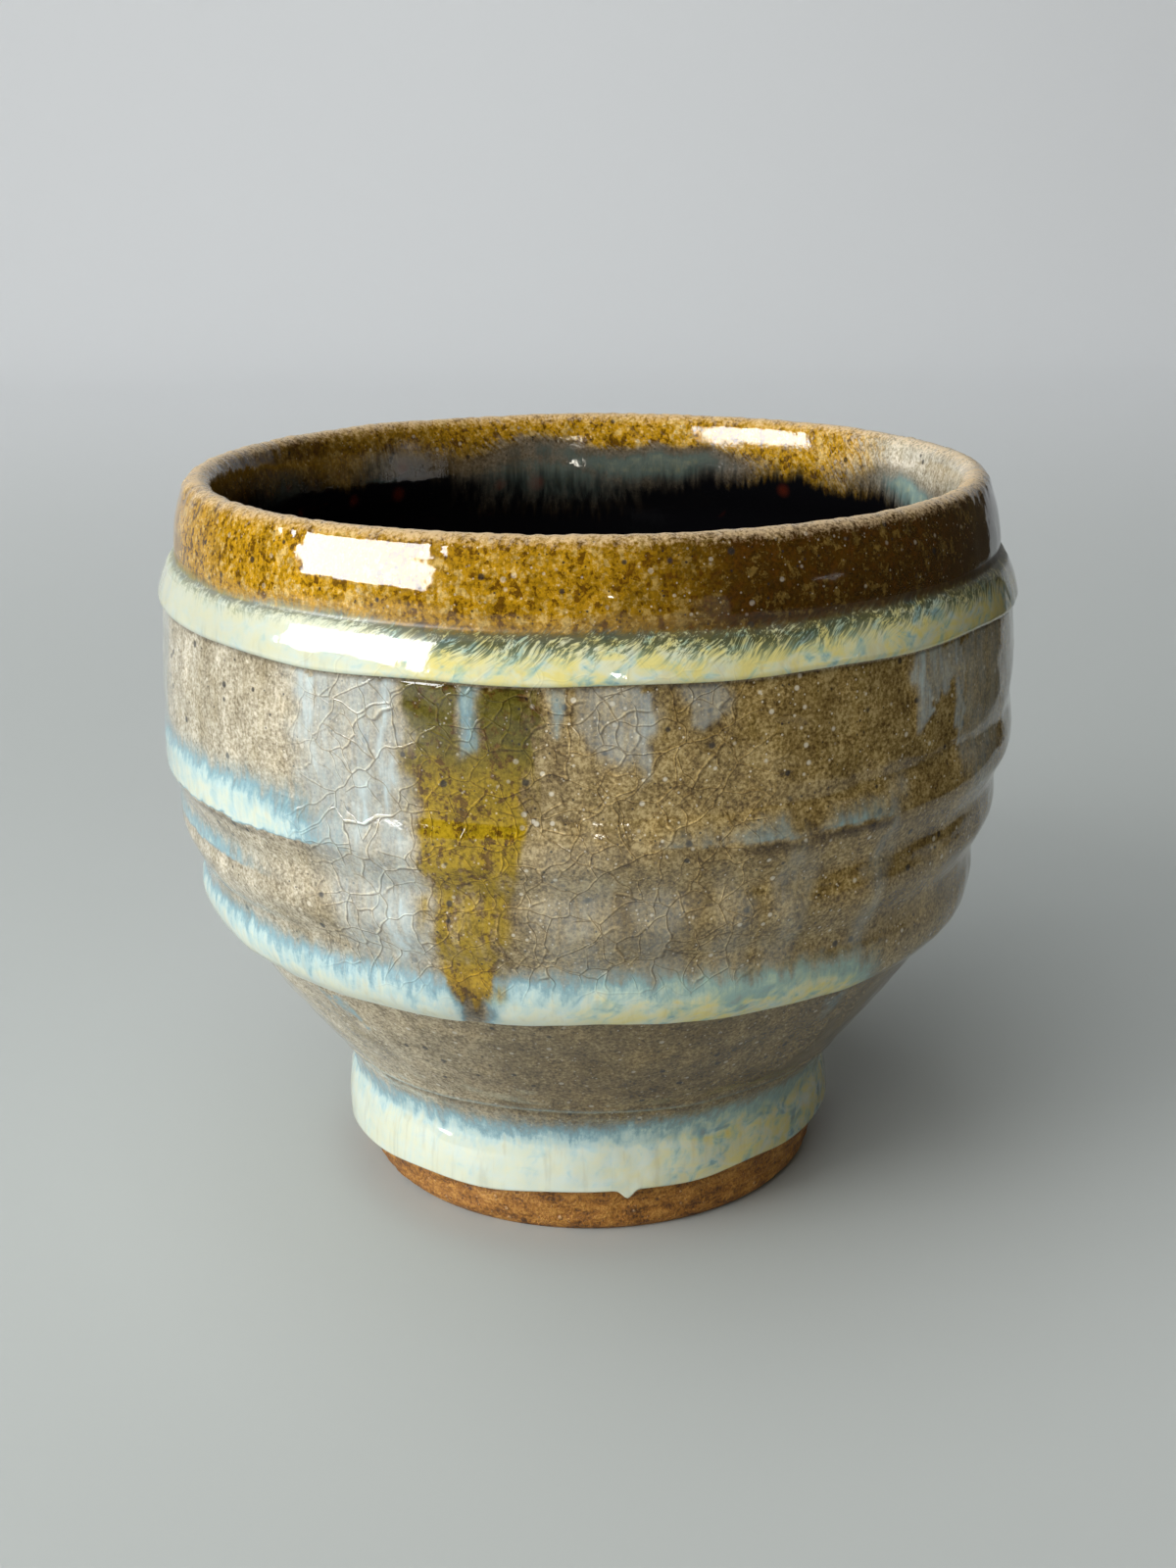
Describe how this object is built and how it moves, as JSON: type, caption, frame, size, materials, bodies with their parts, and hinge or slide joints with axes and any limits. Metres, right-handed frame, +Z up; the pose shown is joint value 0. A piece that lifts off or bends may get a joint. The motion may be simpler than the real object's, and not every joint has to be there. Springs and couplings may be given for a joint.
{
  "type": "yunomi teacup",
  "caption": "Handleless stoneware teacup: ridged rounded bowl on a turned foot, dark glossy lining, amber rim and thick pale glaze rolls at shoulder, belly and foot.",
  "frame": {"origin": "centre of the foot, on the plane of the table", "axes": "+Z up along the axis on which the cup was thrown; the pictured front faces -Y"},
  "size_m": [0.0922, 0.0922, 0.0784],
  "materials": {
    "speckled_stoneware": "matte",
    "bare_clay": "matte",
    "black_liner": "gloss",
    "amber_glaze": "gloss",
    "cream_glaze": "gloss",
    "clear_glaze": "gloss",
    "pale_blue_glaze": "gloss"
  },
  "bodies": {
    "root": {"bowl": "speckled_stoneware", "foot_ring": "bare_clay", "liner_glaze": "black_liner", "rim_glaze": "amber_glaze", "shoulder_roll": "cream_glaze", "wall_glaze": "clear_glaze", "belly_roll": "pale_blue_glaze", "underbelly_glaze": "clear_glaze", "foot_roll": "pale_blue_glaze"}
  },
  "joints": []
}
